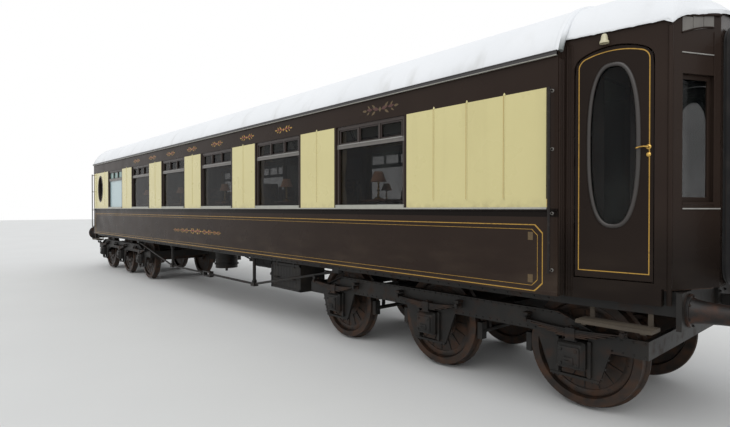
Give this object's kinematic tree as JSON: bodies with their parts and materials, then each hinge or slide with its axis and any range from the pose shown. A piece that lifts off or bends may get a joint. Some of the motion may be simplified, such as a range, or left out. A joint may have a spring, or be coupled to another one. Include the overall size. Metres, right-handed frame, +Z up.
{
  "type": "railway passenger coach",
  "caption": "Railway saloon coach with umber and cream sides, a white arched roof with domed ends, tapered vestibules, oval-light doors, trussed underframe and swivelling bogies.",
  "frame": {"origin": "middle of the coach's length and width, at the level of the wheel flanges' tips", "axes": "+X along the coach to the near end, +Y across it to the right side, +Z up"},
  "size_m": [18.7, 2.77, 3.9548],
  "materials": {
    "umber_paint": "gloss varnished paint",
    "cream_paint": "gloss varnished paint",
    "white_roof": "matt painted canvas",
    "black_iron": "dull with grime and rust",
    "buffer_iron": "weathered",
    "wheel_steel": "rusty with worn treads",
    "window_wood": "varnished",
    "inner_wood": "polished veneer",
    "floor_boards": "carpeted boards",
    "step_wood": "weathered",
    "clear_glass": "clear",
    "gangway_cloth": "folded rubbered canvas",
    "rail_paint": "gloss paint",
    "brass": "polished",
    "gilt": "gold leaf and gold paint",
    "chair_cloth": "moquette",
    "curtain_cloth": "woven",
    "lamp_shade": "pleated silk"
  },
  "bodies": {
    "coach": {"armchairs_left": "chair_cloth", "armchairs_right": "chair_cloth", "battery_boxes": "black_iron", "brake_cylinders": "black_iron", "buffers": "buffer_iron", "bulkheads": "inner_wood", "curtains": "curtain_cloth", "door_lamps": "cream_paint", "drawgear": "black_iron", "floor": "floor_boards", "footsteps": "step_wood", "gangway_far": "gangway_cloth", "gangway_near": "gangway_cloth", "handrails": "rail_paint", "luggage_racks": "brass", "roof": "white_roof", "roof_end_far": "white_roof", "roof_end_near": "white_roof", "side_left": "umber_paint", "side_right": "umber_paint", "table_lamps": "lamp_shade", "tables": "inner_wood", "truss_rods": "black_iron", "underframe": "black_iron", "vestibule_far": "umber_paint", "vestibule_near": "umber_paint", "window_frames": "window_wood", "window_glass": "clear_glass"},
    "bogie_a": {"bogie_frame_a": "black_iron", "axleboxes_a": "black_iron", "brake_gear_a": "black_iron"},
    "bogie_b": {"bogie_frame_b": "black_iron", "axleboxes_b": "black_iron", "brake_gear_b": "black_iron"},
    "axle_a1": {"wheelset_a1": "wheel_steel"},
    "axle_a2": {"wheelset_a2": "wheel_steel"},
    "axle_a3": {"wheelset_a3": "wheel_steel"},
    "axle_b1": {"wheelset_b1": "wheel_steel"},
    "axle_b2": {"wheelset_b2": "wheel_steel"},
    "axle_b3": {"wheelset_b3": "wheel_steel"},
    "side_door_near_left": {"door_near_left": "umber_paint", "door_glass_near_left": "clear_glass"},
    "side_door_near_right": {"door_near_right": "umber_paint", "door_glass_near_right": "clear_glass"},
    "end_door_near": {"gangway_door_near": "umber_paint", "gangway_door_glass_near": "clear_glass"},
    "side_door_far_left": {"door_far_left": "umber_paint", "door_glass_far_left": "clear_glass"},
    "side_door_far_right": {"door_far_right": "umber_paint", "door_glass_far_right": "clear_glass"},
    "end_door_far": {"gangway_door_far": "umber_paint", "gangway_door_glass_far": "clear_glass"}
  },
  "joints": [
    {"name": "bogie_swivel_a", "type": "hinge", "parent": "coach", "child": "bogie_a", "pos_m": [5.95, 0, 1.0755], "axis": [0, 0, 1], "range_deg": [-4, 4]},
    {"name": "wheels_turn_a1", "type": "hinge", "parent": "bogie_a", "child": "axle_a1", "pos_m": [4.197, 0, 0.5615], "axis": [0, 1, 0], "continuous": true},
    {"name": "wheels_turn_a2", "type": "hinge", "parent": "bogie_a", "child": "axle_a2", "pos_m": [5.95, 0, 0.5615], "axis": [0, 1, 0], "continuous": true},
    {"name": "wheels_turn_a3", "type": "hinge", "parent": "bogie_a", "child": "axle_a3", "pos_m": [7.703, 0, 0.5615], "axis": [0, 1, 0], "continuous": true},
    {"name": "bogie_swivel_b", "type": "hinge", "parent": "coach", "child": "bogie_b", "pos_m": [-5.95, 0, 1.0755], "axis": [0, 0, 1], "range_deg": [-4, 4]},
    {"name": "wheels_turn_b1", "type": "hinge", "parent": "bogie_b", "child": "axle_b1", "pos_m": [-7.703, 0, 0.5615], "axis": [0, 1, 0], "continuous": true},
    {"name": "wheels_turn_b2", "type": "hinge", "parent": "bogie_b", "child": "axle_b2", "pos_m": [-5.95, 0, 0.5615], "axis": [0, 1, 0], "continuous": true},
    {"name": "wheels_turn_b3", "type": "hinge", "parent": "bogie_b", "child": "axle_b3", "pos_m": [-4.197, 0, 0.5615], "axis": [0, 1, 0], "continuous": true},
    {"name": "door_swing_near_left", "type": "hinge", "parent": "coach", "child": "side_door_near_left", "pos_m": [7.76803, -1.09851, 2.3], "axis": [0, 0, 1], "range_deg": [0, 85]},
    {"name": "door_swing_near_right", "type": "hinge", "parent": "coach", "child": "side_door_near_right", "pos_m": [7.76803, 1.09851, 2.3], "axis": [0, 0, -1], "range_deg": [0, 85]},
    {"name": "end_door_swing_near", "type": "hinge", "parent": "coach", "child": "end_door_near", "pos_m": [8.673, 0.33, 2.2], "axis": [0, 0, -1], "range_deg": [0, 85]},
    {"name": "door_swing_far_left", "type": "hinge", "parent": "coach", "child": "side_door_far_left", "pos_m": [-7.76803, -1.09851, 2.3], "axis": [0, 0, -1], "range_deg": [0, 85]},
    {"name": "door_swing_far_right", "type": "hinge", "parent": "coach", "child": "side_door_far_right", "pos_m": [-7.76803, 1.09851, 2.3], "axis": [0, 0, 1], "range_deg": [0, 85]},
    {"name": "end_door_swing_far", "type": "hinge", "parent": "coach", "child": "end_door_far", "pos_m": [-8.673, 0.33, 2.2], "axis": [0, 0, 1], "range_deg": [0, 85]}
  ]
}
